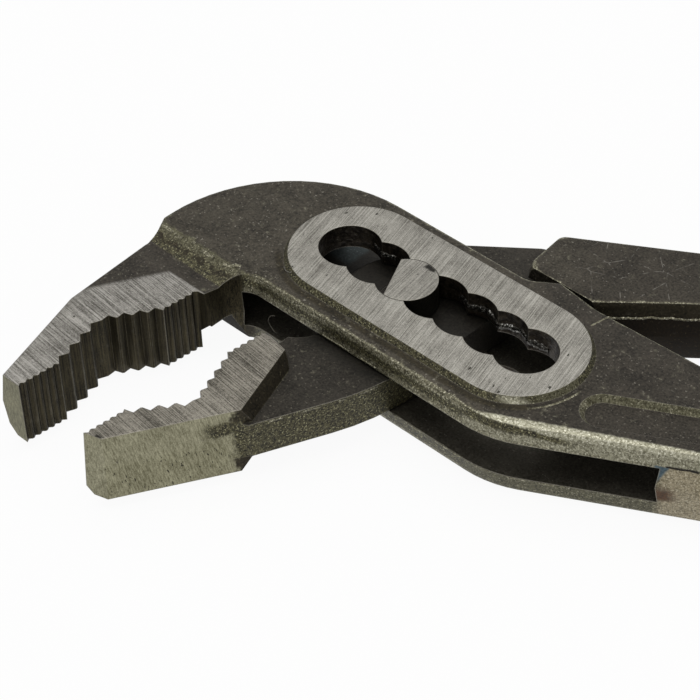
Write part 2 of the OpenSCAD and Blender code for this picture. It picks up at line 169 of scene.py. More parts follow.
class Bearings(Pen):
    """The pen of a material, with the coordinates and the noise that its finishes share."""

    def __init__(self, tree: Tree) -> None:
        """Adds the coordinate nodes.

        Args:
            tree: The material's node tree.
        """
        super().__init__(tree)
        self.drawn: dict[Pair, Socket] = {}
        lean = (0, 0, HEAD_LEAN)
        per_mm = (1 / MM, 1 / MM, 1 / MM)
        coords = self.add("TexCoord")
        turned = self.add("Mapping", links={
            "Vector": coords["Object"], "Rotation": lean, "Scale": per_mm})
        facing = self.add("Mapping", {"vector_type": "VECTOR"}, {
            "Vector": coords["Normal"], "Rotation": lean})
        tool = self.add("Mapping", links={"Vector": coords["Object"], "Scale": per_mm})
        self.point: Socket = turned[0]
        place, far, face, straight = (
            self.add("SeparateXYZ", links={0: vector})
            for vector in (turned[0], tool[0], facing[0], coords["Normal"]))
        rise = self.add("Math", MINUS, {0: place["Z"], 1: MID_Z})
        lift, up = (self.add("Math", UNSIGNED, {0: value})[0]
                    for value in (rise[0], face["Z"]))
        self.axes: dict[Axis, Socket] = {
            Axis.ALONG: place["X"], Axis.ACROSS: place["Y"], Axis.HEIGHT: place["Z"],
            Axis.LIFT: lift, Axis.RING: self.ring(place["X"], place["Y"]),
            Axis.FAR_X: far["X"], Axis.FAR_Y: far["Y"], Axis.FACE_ALONG: face["X"],
            Axis.FACE_ACROSS: face["Y"], Axis.FACE_UP: up, Axis.FACE_Y: straight["Y"]}
        self.wander: Socket = self.add("Math", MINUS, {0: self.blots(*FRAY), 1: NOISE_MIDDLE})[0]

    def ring(self, along: Socket, across: Socket) -> Socket:
        """Adds the distance from the centre line of the boss.

        Args:
            along: The place along the slot.
            across: The place across the slot.

        Returns:
            The distance in millimetres.
        """
        off = self.add("Math", MINUS, {0: along, 1: BOSS_MID})
        side = self.add("Math", UNSIGNED, {0: off[0]})
        past = self.add("Math", MINUS, {0: side[0], 1: BOSS_HALF})
        end = self.add("Math", LARGEST, {0: past[0], 1: 0.0})
        both = self.add("CombineXYZ", links={0: end[0], 1: across})
        return self.add("VectorMath", {"operation": "LENGTH"}, {0: both[0]})["Value"]

    def blots(self, size_mm: float, detail: float = 2.0) -> Socket:
        """Adds blots of one size, or finds them where a finish has drawn them already.

        Args:
            size_mm: The size of the largest blots.
            detail: How many finer steps they have.

        Returns:
            The blots' strength, around a half.
        """
        key = (size_mm, detail)
        if key not in self.drawn:
            self.drawn[key] = self.add("TexNoise", links={
                "Vector": self.point, "Scale": 1 / size_mm, "Detail": detail,
                "Roughness": NOISE_FALL})[0]
        return self.drawn[key]


@dataclass(frozen=True)
class Limit:
    """One side of a zone: nothing at start, all of it at full. It may slant with another axis."""

    axis: Axis
    start: float
    full: float
    slant_axis: Optional[Axis] = None
    slant: float = 0.0


@dataclass(frozen=True)
class Zone:
    """Where a finish lies: the place where all its limits hold, with a ragged border in mm."""

    limits: tuple[Limit, ...]
    ragged: float
    face_share: float

    def draw(self, pen: Bearings) -> Socket:
        """Adds the nodes of the zone's mask.

        Args:
            pen: The material's nodes and coordinates.

        Returns:
            The mask, from 0 outside to 1 inside.
        """
        mask: Optional[Socket] = None
        for limit in self.limits:
            value = pen.axes[limit.axis]
            if limit.slant_axis is not None:
                value = pen.add("Math", TIMES_PLUS, {
                    0: pen.axes[limit.slant_axis], 1: limit.slant, 2: value})[0]
            if self.ragged:
                share = self.face_share if limit.axis in FACES else 1.0
                value = pen.add("Math", TIMES_PLUS, {
                    0: pen.wander, 1: self.ragged * share, 2: value})[0]
            side = pen.add("MapRange", {"interpolation_type": "SMOOTHSTEP", **OPEN}, {
                "Value": value, "From Min": limit.start, "From Max": limit.full})[0]
            mask = side if mask is None else pen.add("Math", TIMES, {0: mask, 1: side})[0]
        if mask is None:
            raise ValueError("a zone needs a limit")
        return mask


def where(*more: Limit, ragged: float = 0.0, face_share: float = 0.12,
          **sides: Sequence[float]) -> Zone:
    """Makes a zone from its limits.

    Args:
        more: Limits that slant, or that lie on an axis named among the sides already.
        ragged: How far the border strays, in millimetres.
        face_share: How much of that goes to limits on a normal.
        sides: By the axis's name, the start and full of one side, or of both sides of a band.

    Returns:
        The zone.
    """
    limits = tuple(Limit(Axis[name.upper()], ends[i], ends[i + 1])
                   for name, ends in sides.items() for i in range(0, len(ends), 2))
    return Zone(limits + more, ragged, face_share)


@dataclass
class Layer:
    """What a finish gives: its colour, and its roughness, metal and height as one vector."""

    colour: Socket
    body: Socket


class Finish(ABC):
    """A surface as a tool or a process leaves it."""

    metal: float
    depth_mm: float

    @abstractmethod
    def lay(self, pen: Bearings) -> Layer:
        """Adds the finish's nodes to a material and returns what they give."""

    def layer(self, pen: Pen, colour: Socket, rough: Socket, relief: Socket) -> Layer:
        """Puts the parts of the finish together.

        Args:
            pen: The material's nodes.
            colour: The finish's colour.
            rough: Its roughness.
            relief: The pattern that its depth goes by.

        Returns:
            The finish's layer.
        """
        height = pen.add("Math", TIMES, {0: relief, 1: self.depth_mm})
        body = pen.add("CombineXYZ", links={0: rough, 1: self.metal, 2: height[0]})
        return Layer(colour, body[0])


@dataclass(frozen=True)
class ScaledSteel(Finish):
    """Drop-forged carbon steel under thin phosphate scale: dark, dull and finely sandy."""

    dark: str
    light: str
    speck: str
    grain_mm: float = 0.38
    mottle_mm: float = 5.0
    mottle_share: float = 0.6
    darkest: float = 0.56
    lightest: float = 1.04
    speck_mm: float = 0.45
    speck_share: float = 0.66
    speck_soft: float = 0.09
    scratch: float = 0.0
    scratch_mm: float = 7.0
    scratch_core: float = 0.003
    scratch_edge: float = 0.012
    scratch_runs: Pair = (0.48, 0.6)
    scratched_metal: str = "#a5a198"
    rough: float = 0.55
    smoother: float = 0.08
    rougher: float = 0.1
    metal: float = 0.75
    depth_mm: float = 0.035

    def lay(self, pen: Bearings) -> Layer:
        """Sandy grain over slow mottling, with a few bright specks and scratches.

        Args:
            pen: The material's nodes and coordinates.

        Returns:
            The finish's layer.
        """
        # Real scale is sandy at about 0.1 mm; its grain is drawn coarser, so that it shows
        grain = pen.blots(self.grain_mm)
        both = pen.add("Math", TIMES_PLUS, {
            0: pen.blots(self.mottle_mm, 3.0), 1: self.mottle_share, 2: grain})
        tone = pen.add("MapRange", OPEN, {
            "Value": both[0], "From Min": self.darkest, "From Max": self.lightest})
        colour = pen.add("Mix", COLOURS, {
            BY: tone[0], FROM: linear(self.dark), TO: linear(self.light)})[MIXED]
        specks = pen.add("MapRange", OPEN, {
            "Value": pen.blots(self.speck_mm, 1.0), "From Min": self.speck_share,
            "From Max": self.speck_share + self.speck_soft})
        colour = pen.add("Mix", COLOURS, {
            BY: specks[0], FROM: colour, TO: linear(self.speck)})[MIXED]
        if self.scratch:
            colour = self.scratched(pen, colour)
        rough = pen.add("MapRange", OPEN, {
            "Value": grain, "To Min": self.rough - self.smoother,
            "To Max": self.rough + self.rougher})
        return self.layer(pen, colour, rough[0], grain)

    def scratched(self, pen: Bearings, colour: Socket) -> Socket:
        """Adds thin broken scratches, where the tool was knocked about.

        Args:
            pen: The material's nodes and coordinates.
            colour: The colour below the scratches.

        Returns:
            The scratched colour.
        """
        cracks = pen.add("TexVoronoi", {"feature": "DISTANCE_TO_EDGE"}, {
            "Vector": pen.point, "Scale": 1 / self.scratch_mm})
        thin = pen.add("MapRange", links={
            "Value": cracks[0], "From Min": self.scratch_edge,
            "From Max": self.scratch_core, "To Max": self.scratch})
        parts = pen.add("MapRange", links={
            "Value": pen.blots(*FRAY), "From Min": self.scratch_runs[0],
            "From Max": self.scratch_runs[1]})
        some = pen.add("Math", TIMES, {0: thin[0], 1: parts[0]})
        return pen.add("Mix", COLOURS, {
            BY: some[0], FROM: colour, TO: linear(self.scratched_metal)})[MIXED]


@dataclass(frozen=True)
class LinedSteel(Finish):
    """Ground or cut carbon steel: bare metal with the tool's straight fine lines."""

    dull: str
    bright: str
    turn: Vec
    pit: str = "#3c3a33"
    line_mm: float = 0.24
    line_run_mm: float = 11.0
    line_fall: float = 0.75
    cloud_mm: float = 5.0
    cloud_share: float = 0.35
    fine_mm: float = 0.22
    fine_share: float = 0.4
    pit_mm: float = 0.75
    pit_run_mm: float = 1.3
    pit_share: float = 0.74
    pit_soft: float = 0.05
    contrast: float = 0.2
    rough: float = 0.36
    smoother: float = 0.06
    rougher: float = 0.1
    metal: float = 0.9
    depth_mm: float = 0.016

    def lay(self, pen: Bearings) -> Layer:
        """Long thin lines along the turned X axis, soft clouds and a few pits.

        Args:
            pen: The material's nodes and coordinates.

        Returns:
            The finish's layer.
        """
        # Real grinding lines are about 0.05 mm apart; they are drawn coarser, so that they show
        turned = pen.add("Mapping", {"vector_type": "VECTOR"}, {
            "Vector": pen.point, "Rotation": tuple(math.radians(a) for a in self.turn)})
        stretched = pen.add("VectorMath", DIVIDED, {
            0: turned[0], 1: (self.line_run_mm, self.line_mm, self.line_mm)})
        lines = pen.add("TexNoise", links={
            "Vector": stretched[0], "Scale": 1.0, "Detail": 3.0, "Roughness": self.line_fall})
        both = pen.add("Math", TIMES_PLUS, {
            0: pen.blots(self.cloud_mm, 3.0), 1: self.cloud_share, 2: lines[0]})
        fine = pen.add("Math", TIMES_PLUS, {
            0: pen.blots(self.fine_mm, 1.0), 1: self.fine_share, 2: both[0]})
        middle = NOISE_MIDDLE * (1 + self.cloud_share + self.fine_share)
        tone = pen.add("MapRange", OPEN, {
            "Value": fine[0], "From Min": middle - self.contrast,
            "From Max": middle + self.contrast})
        colour = pen.add("Mix", COLOURS, {
            BY: tone[0], FROM: linear(self.dull), TO: linear(self.bright)})
        dots = pen.add("VectorMath", DIVIDED, {
            0: turned[0], 1: (self.pit_run_mm, self.pit_mm, self.pit_mm)})
        holes = pen.add("TexNoise", links={"Vector": dots[0], "Scale": 1.0, "Detail": 1.0})
        pits = pen.add("MapRange", OPEN, {
            "Value": holes[0], "From Min": self.pit_share,
            "From Max": self.pit_share + self.pit_soft})
        colour = pen.add("Mix", COLOURS, {BY: pits[0], FROM: colour[MIXED], TO: linear(self.pit)})
        rough = pen.add("MapRange", OPEN, {
            "Value": lines[0], "To Min": self.rough + self.rougher,
            "To Max": self.rough - self.smoother})
        return self.layer(pen, colour[MIXED], rough[0], lines[0])


@dataclass(frozen=True)
class TrimmedSteel(Finish):
    """Carbon steel where the flash was sheared off: coarse and olive grey, with single grains
    painted bright as highlights.
    """

    dark: str
    light: str
    painted_glint: str
    grain_mm: float = 0.45
    darkest: float = 0.39
    lightest: float = 0.61
    glint_mm: float = 0.27
    glint_share: float = 0.53
    glint_soft: float = 0.14
    rough: float = 0.46
    smoother: float = 0.16
    metal: float = 0.6
    depth_mm: float = 0.09

    def lay(self, pen: Bearings) -> Layer:
        """Torn grain in two tones, with single grains painted bright as highlights and a little
        smoother.

        Args:
            pen: The material's nodes and coordinates.

        Returns:
            The finish's layer.
        """
        grain = pen.blots(self.grain_mm, 3.0)
        tone = pen.add("MapRange", OPEN, {
            "Value": grain, "From Min": self.darkest, "From Max": self.lightest})
        colour = pen.add("Mix", COLOURS, {
            BY: tone[0], FROM: linear(self.dark), TO: linear(self.light)})
        # Painted highlights: single grains in a brighter colour, standing in for grains that catch
        # the light
        painted_glints = pen.add("MapRange", links={
            "Value": pen.blots(self.glint_mm), "From Min": self.glint_share,
            "From Max": self.glint_share + self.glint_soft})
        colour = pen.add("Mix", COLOURS, {
            BY: painted_glints[0], FROM: colour[MIXED], TO: linear(self.painted_glint)})
        rough = pen.add("MapRange", links={
            "Value": painted_glints[0], "To Min": self.rough, "To Max": self.rough - self.smoother})
        return self.layer(pen, colour[MIXED], rough[0], grain)


@dataclass(frozen=True)
class EdgeWear:
    """Bare metal rubbed through at outer edges, and painted shade darkening inner corners."""

    rubbed: str
    shade_in_corners: str
    edge_mm: float = 0.35
    start: float = 0.03
    full: float = 0.3
    fray: float = 0.25
    amount: float = 0.8
    corner_mm: float = 1.6
    corner_amount: float = 0.75
    corner_shade: Pair = (0.75, 0.25)
    open_shade: Pair = (0.7, 0.95)

    def lay(self, pen: Bearings, colour: Socket, spared: Optional[Zone] = None) -> Socket:
        """Adds painted shade in the corners, then wear on the edges.

        Args:
            pen: The material's nodes and coordinates.
            colour: The colour before wear.
            spared: Where nothing rubs the edges.

        Returns:
            The worn colour.
        """
        # Painted shade: the colour darkens where occlusion finds an inner corner
        hollow = pen.add("AmbientOcclusion", {"samples": EDGE_SAMPLES}, {
            "Distance": self.corner_mm * MM})
        deep = pen.add("MapRange", links={
            "Value": hollow["AO"], "From Min": self.corner_shade[0],
            "From Max": self.corner_shade[1], "To Max": self.corner_amount})
        colour = pen.add("Mix", COLOURS, {
            BY: deep[0], FROM: colour, TO: linear(self.shade_in_corners)})[MIXED]
        bent = pen.add("Bevel", {"samples": EDGE_SAMPLES}, {"Radius": self.edge_mm * MM})
        plain = pen.add("NewGeometry")
        agree = pen.add("VectorMath", {"operation": "DOT_PRODUCT"}, {
            0: bent[0], 1: plain["Normal"]})
        turn = pen.add("Math", TIMES_PLUS, {0: pen.wander, 1: self.fray, 2: agree["Value"]})
        edge = pen.add("MapRange", links={
            "Value": turn[0], "From Min": 1 - self.start, "From Max": 1 - self.full,
            "To Max": self.amount})
        open_air = pen.add("MapRange", links={
            "Value": hollow["AO"], "From Min": self.open_shade[0], "From Max": self.open_shade[1]})
        worn = pen.add("Math", TIMES, {0: edge[0], 1: open_air[0]})
        if spared is not None:
            rubbed = pen.add("Math", MINUS, {0: 1.0, 1: spared.draw(pen)})
            worn = pen.add("Math", TIMES, {0: worn[0], 1: rubbed[0]})
        return pen.add("Mix", COLOURS, {BY: worn[0], FROM: colour, TO: linear(self.rubbed)})[MIXED]


@dataclass(frozen=True)
class SteelSurface:
    """A whole steel piece's material: a base finish, and others laid over it in zones."""

    name: str
    base: Finish
    coats: tuple[tuple[Zone, Finish], ...]
    wear: EdgeWear
    spared: Optional[Zone] = None
    round_mm: float = 0.22

    def paint(self) -> bpy.types.Material:
        """Builds the material and returns it."""
        material = bpy.data.materials.new(self.name)
        pen = Bearings(fresh_tree(material))
        laid: dict[Finish, Layer] = {}
        under = self.base.lay(pen)
        for zone, finish in self.coats:
            mask = zone.draw(pen)
            if finish not in laid:
                laid[finish] = finish.lay(pen)
            over = laid[finish]
            colour = pen.add("Mix", COLOURS, {BY: mask, FROM: under.colour, TO: over.colour})
            body = pen.add("Mix", VECTORS, {BY: mask, BODY_FROM: under.body, BODY_TO: over.body})
            under = Layer(colour[MIXED], body[BODY_MIXED])
        parts = pen.add("SeparateXYZ", links={0: under.body})
        soft = pen.add("Bevel", {"samples": EDGE_SAMPLES}, {"Radius": self.round_mm * MM})
        bump = pen.add("Bump", links={
            "Strength": 1.0, "Distance": MM, "Height": parts["Z"], "Normal": soft[0]})
        shader = pen.add("BsdfPrincipled", links={
            "Base Color": self.wear.lay(pen, under.colour, self.spared),
            "Roughness": parts["X"], "Metallic": parts["Y"] if self.coats else self.base.metal,
            "Normal": bump[0]})
        pen.add("OutputMaterial", links={0: shader[0]})
        return material


@dataclass(frozen=True)
class DippedVinyl:
    """Plasticised PVC, dipped on: satin, faintly rippled, dusty and a little scuffed."""

    name: str
    deep: str
    pale: str
    scuff: str
    ripple_mm: float = 1.4
    peel_mm: float = 0.3
    peel_share: float = 0.25
    dust_mm: float = 9.0
    dusty: Pair = (0.3, 0.75)
    rough: float = 0.42
    smoother: float = 0.08
    rougher: float = 0.16
    refraction: float = 1.53
    depth_mm: float = 0.05

    def paint(self) -> bpy.types.Material:
        """Builds the material and returns it."""
        material = bpy.data.materials.new(self.name)
        pen = Bearings(fresh_tree(material))
        dust = pen.blots(self.dust_mm, 4.0)
        tone = pen.add("MapRange", links={
            "Value": dust, "From Min": self.dusty[0], "From Max": self.dusty[1]})
        colour = pen.add("Mix", COLOURS, {
            BY: tone[0], FROM: linear(self.deep), TO: linear(self.pale)})
        height = pen.add("Math", TIMES_PLUS, {
            0: pen.blots(self.peel_mm, 1.0), 1: self.peel_share,
            2: pen.blots(self.ripple_mm, 1.0)})
        rough = pen.add("MapRange", links={
            "Value": dust, "To Min": self.rough - self.smoother,
            "To Max": self.rough + self.rougher})
        # Scuffs on the edges, and the deep tone painted as shade in inner corners
        wear = EdgeWear(self.scuff, self.deep, edge_mm=0.8, amount=0.35, corner_amount=0.4)
        bump = pen.add("Bump", links={
            "Strength": 1.0, "Distance": self.depth_mm * MM, "Height": height[0]})
        shader = pen.add("BsdfPrincipled", links={
            "Base Color": wear.lay(pen, colour[MIXED]),
            "Roughness": rough[0], "Normal": bump[0], "IOR": self.refraction})
        pen.add("OutputMaterial", links={0: shader[0]})
        return material


# Phosphate scale from the forge: warm dark grey that barely shines
SCALE = ScaledSteel("#23201a", "#524d43", "#78746a")
# The same scale on the upper handle, with the scratches of a tool box
KNOCKED_SCALE = ScaledSteel("#1f1c17", "#4a453c", "#87837a", scratch=0.4, speck_share=0.7)
# The handle's and the neck's scale: a little darker than the cheek's
DULL_SCALE = ScaledSteel("#1e1b16", "#47423a", "#6e6a60")
# Scale where oil and shop dirt sit in it, nearly black; also painted shadow on the tongue under
# the box's cheek edge
OILY_AND_SHADED_SCALE = ScaledSteel("#14120e", "#292620", "#45413a", rough=0.4, speck_share=0.74)
# Milled faces of the gap: plain grey, since hardly any light gets there
MILLED_SCALE = ScaledSteel("#39362e", "#5e5a50", "#78746a", rough=0.5)
# Tongue faces: scale dulled by sliding in the box
SLID_SCALE = ScaledSteel("#1b1813", "#3e3a33", "#5b574d")
# Walls that no tool touched after the forge: brown and dark; also painted shade on side walls of
# the upper handle and at the root of the mouth
BROWN_AND_SHADED_SCALE = ScaledSteel("#1a1710", "#3f392b", "#5c5645")
# The shaded underside of the upper handle's wall: brown black and dull
UNDER_SCALE = ScaledSteel("#130f09", "#271f14", "#3c3425", rough=0.62)
# Painted shade at the root of the mouth: dull brown black that hardly shines
MOUTH_ROOT_SHADE = ScaledSteel("#0d0a05", "#1c160c", "#282015", rough=0.88, metal=0.4)
# Blue-grey tint of steel once heated, at the end of the milled gap
BLUED = ScaledSteel("#38464d", "#586970", "#7c898e", rough=0.4)
# The same tint under oil, below the first hole of the slot
OILY_BLUE = ScaledSteel("#24292a", "#3d4545", "#5c6363", rough=0.4)
# Rust-brown tint beside it
BROWNED = ScaledSteel("#35271b", "#5f4530", "#7b6146", rough=0.5)
# Belt-ground boss: pale grey, lines steep across the slot
GROUND_BOSS = LinedSteel("#5b5851", "#b1aea5", (0, 0, -104), line_mm=0.18)
# The pin's ends, ground with the boss but turned a little in their seat
GROUND_PIN = LinedSteel("#595650", "#a9a69d", (0, 0, -98), line_mm=0.18)
# Belt-ground upper jaw: pale grey, lines from the back edge to the teeth
GROUND_JAW = LinedSteel("#4f4c46", "#a9a69f", (0, 0, 5), line_mm=0.17, contrast=0.14)
# Belt-ground lower jaw: the same lines, a little duller
GROUND_LOWER = LinedSteel("#413e37", "#928d82", (0, 0, 6), line_mm=0.17, contrast=0.14)
# Ground side of the lower jaw: warmer, lines nearly upright
GROUND_SIDE = LinedSteel("#63604b", "#a09d85", (0, 90, 12))
# Its lower half, with upright pits left from the forge
PITTED_SIDE = LinedSteel("#605d48", "#9c9980", (0, 90, 12), pit="#35322a", pit_mm=0.34,
                         pit_run_mm=1.1, pit_share=0.66)
# Ground end of the upper tip: the same, but duller
GROUND_END = LinedSteel("#4b4935", "#7e7b60", (0, 90, 12))
# Slot walls as the broach tore them: black oil with a few facets, painted bright as highlights
BROACHED = TrimmedSteel("#211c16", "#3f382e", "#7d796f", grain_mm=0.9, glint_mm=0.45,
                        glint_share=0.64, rough=0.36, metal=0.8, depth_mm=0.22)
# Flakes that the broach left hanging: wet black with bright edges
TORN = TrimmedSteel("#14120f", "#3a3833", "#b4b2ac", grain_mm=0.7, glint_mm=0.4,
                    glint_share=0.55, rough=0.26, metal=0.9, depth_mm=0.15)
# Cut teeth: dark machined steel, lines along the cutter's path
CUT_TEETH = LinedSteel("#120f08", "#453f2d", (0, 90, 0), rough=0.42, metal=0.85, contrast=0.17)
# Sheared edges and step slopes: olive, coarse and glinting
TRIMMED = TrimmedSteel("#1d1a10", "#4f4b34", "#9a9675", glint_share=0.56)
# Rims where scale is rubbed to the bare grains, lighter also as painted highlight on rounded edges
RIM_WEAR_AND_HIGHLIGHT = TrimmedSteel("#3e3b2b", "#77735d", "#bab69f")
# Sheared edges along the gap: olive but lighter
TRIMMED_PALE = TrimmedSteel("#34311f", "#5d5a45", "#908c76", glint_share=0.56)
# Long sheared side of the box handle: bright and grainy, partly painted light falling from the
# front
TRIMMED_BRIGHT_LIT = TrimmedSteel("#5a5745", "#8d8a76", "#b4b19e")
# The lit crest of that side
TRIMMED_CREST = TrimmedSteel("#787560", "#aca994", "#d4d1be")
# The same side past the gap, with a tan bloom of heat
TRIMMED_TAN = TrimmedSteel("#6b634e", "#968c74", "#b5ac96")
# Flash left standing at a parting line: dark between bright torn grains
FLASH = TrimmedSteel("#3f3b2c", "#807b63", "#d2ceb9", grain_mm=0.38)
# Bare rubbed steel on edges, black painted shade in corners
WEAR = EdgeWear("#8f8b7f", "#15130f")
# The same on a curl so thin that it is all edge
FAINT_WEAR = EdgeWear("#8f8b7f", "#15130f", amount=0.15)
# Plasticised PVC, dipped: charcoal grey with a soft satin shine
VINYL = DippedVinyl("dipped_vinyl", "#1d1f22", "#2f3236", "#4a4d50")


def smooth_by_angle(limit_deg: float, weld_mm: float = 0.002) -> Tree:
    """Makes the modifier that welds a CAD mesh's seams and shades its shallow edges smooth.

    Args:
        limit_deg: Edges bent more than this stay sharp.
        weld_mm: Points nearer than this become one.

    Returns:
        The geometry node tree.
    """
    tree = bpy.data.node_groups.new("smooth_by_angle", "GeometryNodeTree")
    for way in ("INPUT", "OUTPUT"):
        tree.interface.new_socket("Geometry", in_out=way, socket_type="NodeSocketGeometry")
    pen = Pen(tree)
    start = pen.add("NodeGroupInput")
    weld = pen.add("GeometryNodeMergeByDistance", links={
        "Geometry": start[0], "Distance": weld_mm * MM})
    angle = pen.add("GeometryNodeInputMeshEdgeAngle")
    sharp = pen.add("FunctionNodeCompare", {"operation": "GREATER_THAN"}, {
        0: angle["Unsigned Angle"], 1: math.radians(limit_deg)})
    shade = pen.add("GeometryNodeSetMeshNormal", {"mode": "SHARPNESS"}, {
        "Mesh": weld[0], "Remove Custom": True, "Edge Sharpness": sharp[0]})
    pen.add("NodeGroupOutput", links={0: shade[0]})
    return tree


@dataclass
class CadPiece:
    """A CAD piece, shaded smooth where it is round and given its material."""

    node: str
    surface: Union[SteelSurface, DippedVinyl]
    smooth: Tree

    def dress(self) -> None:
        """Gives the CAD node its shading modifiers and its material."""
        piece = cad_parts[self.node]
        piece.modifiers.new("weld_and_smooth", "NODES").node_group = self.smooth
        self.even_out(piece)
        piece.data.materials.clear()
        piece.data.materials.append(self.surface.paint())
        log.info("%s: %s", self.node, self.surface.name)

    def even_out(self, piece: bpy.types.Object) -> None:
        """Leaves the smooth shading as it is."""


@dataclass
class SteelPiece(CadPiece):
    """A forged or turned piece of steel, with flat faces that stay flat beside round ones."""

    def even_out(self, piece: bpy.types.Object) -> None:
        """Weighs the normals by area, so that flat faces stay flat."""
        piece.modifiers.new("flat_faces_stay_flat", "WEIGHTED_NORMAL").keep_sharp = True


@dataclass
class Grip(CadPiece):
    """A dipped vinyl sleeve on a handle."""


